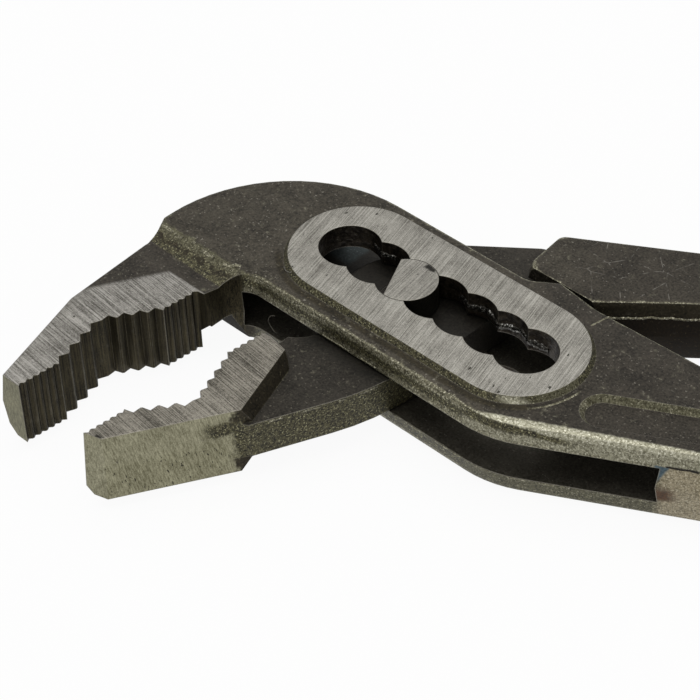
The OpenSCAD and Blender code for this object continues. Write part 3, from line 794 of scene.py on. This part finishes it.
def box_arm_surface() -> SteelSurface:
    """Returns the finishes of the arm with the slotted box, the upper jaw and its handle."""
    head_wall = {"face_across": (-0.5, -0.7), "across": (-13.5, -14.2), "along": (-24, -21)}
    handle_wall = {"face_y": (-0.5, -0.65), "far_y": (-22.5, -23.5), "far_x": (13, 16)}
    gap_end = {"lift": (3.7, 3.6), "face_along": (-0.1, -0.3), "along": (30, 34),
               "far_x": (50, 48)}
    return SteelSurface("forged_carbon_steel_box_arm", SCALE, (
        # The handle and the neck, then all slopes, then the neck's step
        (where(far_x=(14, 26), ragged=3), DULL_SCALE),
        (where(across=(-16, -18), along=(-20, -24), ragged=2), DULL_SCALE),
        # Rubbed rims on every slope and rounded edge, partly painted highlight
        (where(face_up=(0.985, 0.93, 0.25, 0.4), ragged=1.5), RIM_WEAR_AND_HIGHLIGHT),
        (where(face_up=(0.985, 0.95, 0.25, 0.4), along=(4, -4), across=(-4, -8),
               ragged=0.5), TRIMMED),
        (where(across=(-15, -15.6, -17.4, -16.2), along=(-20.5, -23), lift=(5.9, 6.2),
               face_up=(0.8, 0.9), ragged=2.2), TRIMMED_PALE),
        (where(across=(-16.9, -17.6, -18.9, -17.9), along=(-22, -24),
               face_up=(0.985, 0.95, 0.8, 0.9), ragged=5), BROWN_AND_SHADED_SCALE),
        # The boss's foot, with a bright scratch and painted shade beside it
        (where(lift=(6.96, 7.05), face_up=(0.95, 0.8)), TRIMMED),
        (where(ring=(12.7, 12.85, 13.2, 13.05), face_up=(0.9, 0.97), along=(18, 23),
               across=(0, -2), ragged=0.4), RIM_WEAR_AND_HIGHLIGHT),
        # Painted shade in a band at the foot of the boss, on the near side
        (where(ring=(11.9, 12.4, 13.6, 13), face_up=(0.9, 0.97), across=(-7, -9), lift=(6.9, 6.96),
               ragged=0.5), BROWN_AND_SHADED_SCALE),
        # The head's wall, with painted shade at the root of the mouth, and its rims rubbed bright
        # and painted as highlights
        (where(**head_wall, ragged=0.6), TRIMMED),
        # Painted shade on the facets at the root of the mouth
        (where(height=(5.4, 5), along=(-19, -20), face_up=(0.9, 0.8),
               across=(-15, -15.6)), BROWN_AND_SHADED_SCALE),
        (where(height=(8.4, 8), along=(-19, -20), face_up=(0.9, 0.8, 0.2, 0.34),
               across=(-15, -15.6)), MOUTH_ROOT_SHADE),
        (where(face_across=(-0.2, -0.35), across=(-12.5, -13.2), along=(-22, -18), lift=(5.6, 6.2),
               ragged=1.2), RIM_WEAR_AND_HIGHLIGHT),
        (where(**head_wall, height=(11.2, 11.6, 13, 12.2), ragged=1.4), RIM_WEAR_AND_HIGHLIGHT),
        # The handle's wall in strips, with the lit crest and its top edge
        (where(**handle_wall, ragged=0.6), TRIMMED),
        (where(**handle_wall, height=(4.9, 4.6)), TRIMMED_PALE),
        # Painted light, with the steel's own pale grain, on the handle's side
        (where(**handle_wall, height=(11.2, 11.6, 13.6, 13), ragged=0.8), TRIMMED_BRIGHT_LIT),
        (where(Limit(Axis.FAR_X, 22, 29), **handle_wall, height=(11.2, 11.6),
               ragged=0.8), TRIMMED_BRIGHT_LIT),
        (where(Limit(Axis.HEIGHT, 16.8, 17.2, Axis.FAR_X, 0.14),
               Limit(Axis.HEIGHT, 18.2, 17.8, Axis.FAR_X, 0.14), Limit(Axis.FAR_X, 34, 29),
               **handle_wall, ragged=0.5), TRIMMED),
        (where(Limit(Axis.HEIGHT, 17.7, 18.2, Axis.FAR_X, 0.14), Limit(Axis.FAR_X, 18, 22),
               **handle_wall, height=(13.8, 14.3), ragged=0.5), TRIMMED_CREST),
        (where(Limit(Axis.FAR_Y, -25, -25.5, Axis.FAR_X, 0.05), far_x=(15, 19, 70, 45),
               lift=(6.3, 6.6), face_up=(0.3, 0.5), ragged=0.5), TRIMMED_CREST),
        # Heat tints and the dark seam past the gap
        (where(Limit(Axis.FAR_X, 44, 46), **handle_wall, height=(12.2, 11.8)), TRIMMED_TAN),
        (where(Limit(Axis.FAR_X, 43, 44.5), Limit(Axis.FAR_X, 48.5, 46), **handle_wall,
               height=(4.6, 5.6, 9, 7), ragged=1.2), BROWNED),
        (where(Limit(Axis.FAR_X, 43.8, 44.4), Limit(Axis.FAR_X, 39.5, 38.9, Axis.HEIGHT, -0.6),
               **handle_wall, height=(12.1, 11.8, 8.2, 8.9), ragged=0.5), BLUED),
        (where(Limit(Axis.FAR_X, 45.6, 46), Limit(Axis.FAR_X, 51.5, 50.5), **handle_wall,
               height=(11.7, 11.9, 12.3, 12.1), ragged=0.7), OILY_AND_SHADED_SCALE),
        # The panel's lip, and a scratch on the cheek
        (where(face_y=(-0.3, -0.45), face_up=(0.3, 0.5), lift=(5.7, 5.9), far_x=(24, 26),
               far_y=(-24, -23)), TRIMMED_PALE),
        (where(Limit(Axis.ALONG, 25.35, 25.45, Axis.ACROSS, -0.2),
               Limit(Axis.ALONG, 25.75, 25.65, Axis.ACROSS, -0.2), across=(11.8, 12.4),
               height=(14.6, 14.9), ragged=0.4), RIM_WEAR_AND_HIGHLIGHT),
        # Faces that were ground, cut, milled and broached, with oil and heat in the gap
        (where(lift=(7.9, 7.97), face_up=(0.9, 0.97)), GROUND_BOSS),
        (where(lift=(5.9, 5.96, 6.1, 6.04), face_up=(0.96, 0.99), across=(-21, -22)), GROUND_JAW),
        (where(face_across=(-0.6, -0.8), across=(-54, -55)), GROUND_END),
        (where(face_along=(0.05, 0.2), face_up=(0.5, 0.3), across=(-15.5, -16.5),
               along=(-15, -18)), CUT_TEETH),
        (where(lift=(3.7, 3.6), face_up=(0.8, 0.95)), MILLED_SCALE),
        (where(height=(5, 4.7), face_up=(0.8, 0.95), along=(-8, -12), across=(2, 4),
               ragged=0.8), OILY_AND_SHADED_SCALE),
        (where(height=(5, 4.7), face_up=(0.8, 0.95), along=(-18.6, -19.8), across=(5.4, 6.8),
               ragged=0.8), OILY_BLUE),
        (where(**gap_end), OILY_AND_SHADED_SCALE),
        (where(**gap_end, height=(7, 9), ragged=1), BLUED),
        (where(face_up=(0.5, 0.3), across=(-6.5, -6, 6.5, 6),
               along=(-19.5, -18.8, 32, 31.3)), BROACHED),
    ), WEAR, where(across=(-24.4, -23.6, -19, -20), along=(-20, -21), face_up=(0.6, 0.45)))


def tongue_arm_surface() -> SteelSurface:
    """Returns the finishes of the arm with the tongue, the lower jaw and its handle."""
    flank = {"face_along": (0.2, 0.4), "face_up": (0.9, 0.8)}
    return SteelSurface("forged_carbon_steel_tongue_arm", SCALE, (
        # The handle, the tongue's sliding faces, all slopes, then the handle's walls
        (where(far_x=(24, 28), face_up=(0.9, 0.97)), KNOCKED_SCALE),
        (where(lift=(3.5, 3.4)), SLID_SCALE),
        # Rubbed rims on every slope and rounded edge, partly painted highlight
        (where(face_up=(0.985, 0.93, 0.25, 0.4), ragged=1.5), RIM_WEAR_AND_HIGHLIGHT),
        # Painted shade: the handle's side walls darker than its top
        (where(far_x=(20, 24), face_up=(0.6, 0.45), ragged=0.5), BROWN_AND_SHADED_SCALE),
        (where(far_x=(20, 24), face_up=(0.6, 0.45), height=(11.2, 10.9), ragged=0.5), UNDER_SCALE),
        # Oil in the box, painted shadow beside the box's cheek edge, and the tongue's edge beside
        # it
        (where(ring=(9, 8), face_up=(0.9, 0.97), lift=(3.6, 3.5), ragged=1), OILY_AND_SHADED_SCALE),
        # Painted shadow on the tongue's top under and beside the box's cheek edge
        (where(across=(-19, -16.5, 10, 6), face_up=(0.9, 0.97), lift=(3.6, 3.5),
               ragged=1.2), OILY_AND_SHADED_SCALE),
        (where(face_along=(0.2, 0.4), face_up=(0.8, 0.6), lift=(3.2, 3.5), across=(-10, -14),
               ragged=0.5), BROWN_AND_SHADED_SCALE),
        (where(face_along=(0.2, 0.4), face_up=(0.8, 0.6), lift=(3.5, 3.3), across=(-8, -12),
               ragged=0.5), TRIMMED),
        # The jaw: ground faces, pits, a torn notch, a chip and the teeth
        (where(lift=(5.9, 5.96, 6.1, 6.04), face_up=(0.96, 0.99),
               across=(-21, -22)), GROUND_LOWER),
        (where(**flank, across=(-38.2, -39.6), ragged=6, face_share=0), GROUND_SIDE),
        (where(**flank, across=(-39.2, -40.6), height=(9.5, 7.5), ragged=3,
               face_share=0), PITTED_SIDE),
        (where(**flank, across=(-43.4, -41.4, -37, -38.5), height=(9.2, 9.9, 12.4, 11.6),
               ragged=2.4, face_share=0), TRIMMED),
        (where(along=(-11.7, -11.3, -10.3, -10.7), across=(-55.4, -55.9), height=(12.8, 13.2),
               ragged=0.8), OILY_AND_SHADED_SCALE),
        (where(face_across=(-0.6, -0.8), across=(-52, -53)), GROUND_SIDE),
        (where(face_along=(-0.05, -0.2), face_up=(0.5, 0.3), across=(-21.5, -22.5)), CUT_TEETH),
    ), WEAR, where(ring=(9, 8)))


def pin_surface() -> SteelSurface:
    """Returns the finishes of the pivot pin: ground ends, one nicked, on a dark oiled shank."""
    return SteelSurface("ground_carbon_steel_pin", OILY_AND_SHADED_SCALE, (
        (where(lift=(7.9, 7.97), face_up=(0.9, 0.97)), GROUND_PIN),
        (where(height=(12, 13), across=(3.9, 4.3), along=(-0.4, 0.2, 2.4, 1.8),
               ragged=1.2), OILY_AND_SHADED_SCALE),
    ), WEAR)


class Sweep(ABC):
    """A small piece built as rows of rings, closed at both ends, that rides on a CAD body."""

    name: str
    body: str

    @abstractmethod
    def runs(self) -> list[list[Ring]]:
        """Returns the piece's rows of rings, in the shared frame in metres."""

    def build(self, steel: bpy.types.Material) -> None:
        """Builds the mesh and fixes it to its body.

        Args:
            steel: The piece's material.
        """
        points: list[Vector] = []
        faces: list[list[int]] = []
        for rings in self.runs():
            size = len(rings[0])
            first = len(points)
            for ring in rings:
                points.extend(ring)
            for row in range(len(rings) - 1):
                start = first + row * size
                for i in range(size):
                    j = (i + 1) % size
                    faces.append([start + i, start + size + i, start + size + j, start + j])
            faces.append(list(range(first, first + size)))
            faces.append(list(range(len(points) - 1, len(points) - size - 1, -1)))
        mesh = bpy.data.meshes.new(self.name)
        mesh.from_pydata(points, [], faces)
        mesh.materials.append(steel)
        piece = bpy.data.objects.new(self.name, mesh)
        bpy.context.scene.collection.objects.link(piece)
        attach(piece, self.body)
        log.info("%s: %d faces on %s", self.name, len(faces), self.body)


@dataclass
class TornRidge(Sweep):
    """A torn ridge on a face: flash at the parting line, a burr on an edge, or hanging flakes.

    Sizes are in millimetres. Each pair of tear and stray is a strength and its waves in a
    millimetre, and each pair of profile is a share of the height and of the half width.
    """

    name: str
    body: str
    line: Sequence[Vector]
    ahead: Vec = (0, 1, 0)
    proud: float = 0.25
    width: float = 0.5
    sway: float = 0.3
    step: float = 0.3
    sink: float = 0.15
    jump: float = 1.2
    least: float = -2.0
    away: float = 200.0
    gap_waves: float = 0.4
    mean: float = 0.6
    lowest: float = 0.08
    tear: tuple[Pair, ...] = ((0.45, 0.9), (0.4, 3.1))
    stray: tuple[Pair, ...] = ((1.0, 0.35), (0.4, 1.3))
    narrowest: float = 0.7
    widening: float = 0.5
    profile: tuple[Pair, ...] = ((0.6, -0.55), (1.0, 0.1), (0.5, 0.6))

    def runs(self) -> list[list[Ring]]:
        """Casts the line onto the piece and raises rings there, broken at jumps and torn gaps."""
        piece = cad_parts[self.body]
        face = BVHTree.FromPolygons([piece.matrix_world @ v.co for v in piece.data.vertices],
                                    [tuple(p.vertices) for p in piece.data.polygons])
        ahead = Vector(self.ahead)
        found: list[list[Ring]] = [[]]
        last: Optional[Vector] = None
        gone = 0.0
        for a, b in zip(self.line, self.line[1:]):
            run = (b - a).normalized()
            count = max(1, round((b - a).length / (self.step * MM)))
            for i in range(count):
                eye = a.lerp(b, i / count) - ahead * self.away * MM
                place, normal, _, _ = face.ray_cast(eye, ahead)
                torn = noise.noise(Vector((gone * self.gap_waves, 7.0, len(self.name))))
                gap = torn < self.least
                far = (last is not None and place is not None
                       and (place - last).length > self.jump * MM)
                if place is None or gap or far:
                    found.append([])
                if place is not None and not gap:
                    found[-1].append(self.ring(place, normal, run, gone))
                last = place
                gone += self.step
        return [rings for rings in found if len(rings) > 2]

    def ring(self, place: Vector, normal: Vector, run: Vector, gone: float) -> Ring:
        """Shapes one ring of the ridge.

        Args:
            place: The point on the face.
            normal: The face's normal there.
            run: The ridge's direction.
            gone: How far along the ridge the ring stands, in millimetres.

        Returns:
            The ring's points.
        """
        # Bare numbers in the noise are rows of it that lie apart
        side = normal.cross(run).normalized()
        seed = len(self.name) + 1.7 * self.width
        (coarse, coarse_waves), (fine, fine_waves) = self.tear
        (slow, slow_waves), (quick, quick_waves) = self.stray
        torn = (self.mean + coarse * noise.noise(Vector((gone * coarse_waves, seed, 0)))
                + fine * noise.noise(Vector((gone * fine_waves, 0, seed))))
        sway = self.sway * (slow * noise.noise(Vector((gone * slow_waves, 4.0, seed)))
                            + quick * noise.noise(Vector((gone * quick_waves, 9.0, seed))))
        proud = max(self.lowest, torn) * self.proud
        half = self.width / 2 * (self.narrowest + self.widening * max(0.0, torn))
        outline = ((-self.sink, -half),
                   *((proud * rise, half * turn) for rise, turn in self.profile),
                   (-self.sink, half))
        return [place + (normal * out + side * (turn + sway)) * MM for out, turn in outline]


@dataclass
class SwarfCurl(Sweep):
    """A curl of swarf, still held to the steel by one end."""

    name: str
    body: str
    path: Sequence[Vec]
    width: float = 0.13
    thick: float = 0.06
    steps: int = 7
    taper: float = 0.6
    tool_up: Vec = (0.3, -0.4, 0.85)

    def runs(self) -> list[list[Ring]]:
        """Sweeps a thin flat ring along the path, narrower to its free end."""
        line = self.smooth_line()
        rings: list[Ring] = []
        for i, place in enumerate(line):
            run = (line[min(i + 1, len(line) - 1)] - line[max(i - 1, 0)]).normalized()
            side = run.cross(Vector(self.tool_up)).normalized()
            out = side.cross(run)
            share = 1 - self.taper * i / len(line)
            w, t = self.width / 2 * share * MM, self.thick / 2 * MM
            rings.append([place + side * w + out * t, place - side * w + out * t,
                          place - side * w - out * t, place + side * w - out * t])
        return [rings]

    def smooth_line(self) -> list[Vector]:
        """Returns points in metres on a smooth cubic curve through the path's stops."""
        stops = [from_head(*p) for p in self.path]
        line: list[Vector] = []
        for i in range(len(stops) - 1):
            before, a = stops[max(i - 1, 0)], stops[i]
            b, after = stops[i + 1], stops[min(i + 2, len(stops) - 1)]
            for k in range(self.steps):
                t = k / self.steps
                line.append(0.5 * (2 * a + (b - before) * t
                                   + (2 * before - 5 * a + 4 * b - after) * t * t
                                   + (3 * a - before - 3 * b + after) * t ** 3))
        return line + [stops[-1]]


@dataclass
class Studio:
    """A pale floor, soft light from above and the camera at the photograph's angle."""

    floor_side: float = 3.0
    floor_drop: float = 0.0001
    floor_glow: float = 0.94
    paper: str = "#fafaf9"
    soft_side: float = 0.9
    soft_power: float = 4.0
    soft_place: Vec = (0.02, 0.08, 0.85)
    fill_power: float = 1.0
    fill_place: Vec = (-0.25, -0.75, 0.45)
    air_level: float = 0.45
    lens_px: float = 2350.0
    frame_px: float = 700.0
    sensor: float = 36.0
    nearest: float = 0.02
    tilt_deg: float = 42.09
    roll_deg: float = -2.0
    turn_deg: float = -15.37
    distance_mm: float = 373.5
    shift_mm: Pair = (9.03, -11.20)
    top_z: float = 16.0

    def build(self) -> None:
        """Builds the floor, the light and the camera."""
        self.lay_floor()
        self.light()
        self.aim_camera()

    def lay_floor(self) -> None:
        """Lays the pale floor that the pliers rest on. It keeps their soft shadow."""
        mesh = bpy.data.meshes.new("floor")
        half = self.floor_side / 2
        mesh.from_pydata([(-half, -half, 0), (half, -half, 0), (half, half, 0), (-half, half, 0)],
                         [], [(0, 1, 2, 3)])
        floor = bpy.data.objects.new("floor", mesh)
        floor.location.z = -self.floor_drop
        bpy.context.scene.collection.objects.link(floor)
        material = bpy.data.materials.new("pale_floor_paper")
        pen = Pen(fresh_tree(material))
        share = pen.add("Math", TIMES, {0: self.seen_rays(pen), 1: self.floor_glow})
        paper = pen.add("BsdfDiffuse", links={"Color": linear(self.paper)})
        white = pen.add("Emission", links={"Strength": 1.0})
        both = pen.add("MixShader", links={0: share[0], 1: paper[0], 2: white[0]})
        pen.add("OutputMaterial", links={0: both[0]})
        mesh.materials.append(material)
        log.info("floor: %s", material.name)

    def seen_rays(self, pen: Pen) -> Socket:
        """Adds up the rays that see the white background.

        Args:
            pen: The nodes of the floor or of the air.

        Returns:
            One for camera, glossy and transmission rays, and nought for the rest.
        """
        rays = pen.add("LightPath")
        seen = rays["Is Camera Ray"]
        for name in ("Is Glossy Ray", "Is Transmission Ray"):
            seen = pen.add("Math", LARGEST, {0: seen, 1: rays[name]})[0]
        return seen

    def light(self) -> None:
        """Hangs a softbox overhead and a weak one in front, in pale air."""
        world = bpy.data.worlds.new("studio_air")
        bpy.context.scene.world = world
        pen = Pen(fresh_tree(world))
        level = pen.add("MapRange", links={
            "Value": self.seen_rays(pen), "To Min": self.air_level, "To Max": 1.0})
        air = pen.add("Background", links={"Strength": level[0]})
        pen.add("OutputWorld", links={0: air[0]})
        for name, power, place in (("softbox_above", self.soft_power, self.soft_place),
                                   ("softbox_front", self.fill_power, self.fill_place)):
            lamp = bpy.data.lights.new(name, "AREA")
            lamp.size = self.soft_side
            lamp.energy = power
            holder = bpy.data.objects.new(name, lamp)
            holder.location = place
            holder.rotation_euler = (-Vector(place)).to_track_quat("-Z", "Y").to_euler()
            bpy.context.scene.collection.objects.link(holder)
            log.info("%s: %.1f W", name, power)

    def aim_camera(self) -> None:
        """Sets the camera where the photograph was taken from."""
        tilt, roll = math.radians(self.tilt_deg), math.radians(self.roll_deg)
        side = Vector((1, 0, 0))
        down = -Vector((0, math.sin(tilt), math.cos(tilt)))
        ahead = Vector((0, math.cos(tilt), -math.sin(tilt)))
        right = side * math.cos(roll) - down * math.sin(roll)
        drop = side * math.sin(roll) + down * math.cos(roll)
        place = -self.shift_mm[0] * right - self.shift_mm[1] * drop - self.distance_mm * ahead
        look = Matrix((right, -drop, -ahead)).transposed()
        turn = Matrix.Rotation(-math.radians(self.turn_deg), 3, "Z")
        camera = bpy.data.cameras.new("photo_camera")
        camera.sensor_width = self.sensor
        camera.lens = self.lens_px / self.frame_px * self.sensor
        camera.clip_start = self.nearest
        holder = bpy.data.objects.new("photo_camera", camera)
        holder.matrix_world = (Matrix.Translation((turn @ place + Vector((0, 0, self.top_z))) * MM)
                               @ (turn @ look).to_4x4())
        bpy.context.scene.collection.objects.link(holder)
        bpy.context.scene.camera = holder


def add_leavings() -> None:
    """Adds the flash, burrs, flakes and swarf that the dies and cutters left on the steel."""
    bright, pale, swarf, dull, wet = (
        SteelSurface(name, finish, (), wear).paint() for name, finish, wear in (
            ("sheared_steel_flash", FLASH, WEAR), ("torn_steel_burr", RIM_WEAR_AND_HIGHLIGHT, WEAR),
            ("bright_steel_swarf", GROUND_BOSS, WEAR),
            ("oily_steel_swarf", MILLED_SCALE, FAINT_WEAR), ("oily_torn_steel", TORN, WEAR)))
    parting = 11.1
    for name, ahead, span in (("upper_handle_flash", (0, 1, 0), (26, 75.4)),
                              ("upper_handle_back_flash", (0, -1, 0), (30, 75.4))):
        TornRidge(name, "tongue_arm", wall_line(parting, span), ahead, width=0.55,
                  sway=0.45).build(bright)
    for name, arm, height, span in (("front_cheek_burr", "box_arm", 11.8, (-21, 44)),
                                    ("rear_cheek_burr", "box_arm", 4.2, (-18, 44)),
                                    ("tongue_burr", "tongue_arm", 10.9, (-15, 8))):
        TornRidge(name, arm, wall_line(height, span), proud=0.16, width=0.4, sway=0.1,
                  least=-0.05).build(pale)
    rim = [from_head(*p) for p in ((-40.4, -15.8, 15), (-24.6, -15.9, 15), (-22.5, -14.6, 15))]
    TornRidge("neck_step_ridge", "box_arm", rim, (0, 0, -1), proud=0.2, width=0.9, sway=0.6,
              sink=0.3, least=-0.1).build(pale)
    outward = tuple(from_head(0, 1, 0).normalized())
    flake_height = 13.0
    for name, span, proud in (("slot_wall_flakes", (6.8, 25.5), 0.55),
                              ("slot_wall_flakes_left", (-12, -6.8), 0.4)):
        line = [from_head(along, 0, flake_height) for along in span]
        TornRidge(name, "box_arm", line, outward, proud=proud, width=1.5, sway=0.6, jump=0.9,
                  away=0.0).build(wet)
    SwarfCurl("jaw_root_swarf", "tongue_arm", (
        (-10.5, -19.3, 11.1), (-11.2, -19.5, 12.0), (-11.8, -19.5, 13.1), (-11.8, -18.9, 13.6),
        (-11.4, -18.4, 13.5))).build(dull)
    SwarfCurl("boss_foot_swarf", "box_arm", (
        (-17.7, -10.0, 14.95), (-16.6, -10.8, 15.3), (-15.3, -10.9, 15.6),
        (-15.6, -10.0, 15.6))).build(swarf)


def main() -> None:
    """Dresses every piece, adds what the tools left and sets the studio."""
    logging.basicConfig(level=logging.INFO, format="%(name)s: %(message)s")
    bpy.context.scene.view_settings.view_transform = "Standard"
    forged = smooth_by_angle(FORGED_BEND)
    dipped = smooth_by_angle(DIPPED_BEND)
    for piece in (SteelPiece("box_arm", box_arm_surface(), forged),
                  SteelPiece("tongue_arm", tongue_arm_surface(), forged),
                  SteelPiece("pivot_pin", pin_surface(), forged),
                  Grip("box_arm_grip", VINYL, dipped), Grip("tongue_arm_grip", VINYL, dipped)):
        piece.dress()
    add_leavings()
    Studio().build()


if __name__ == "__main__":
    main()
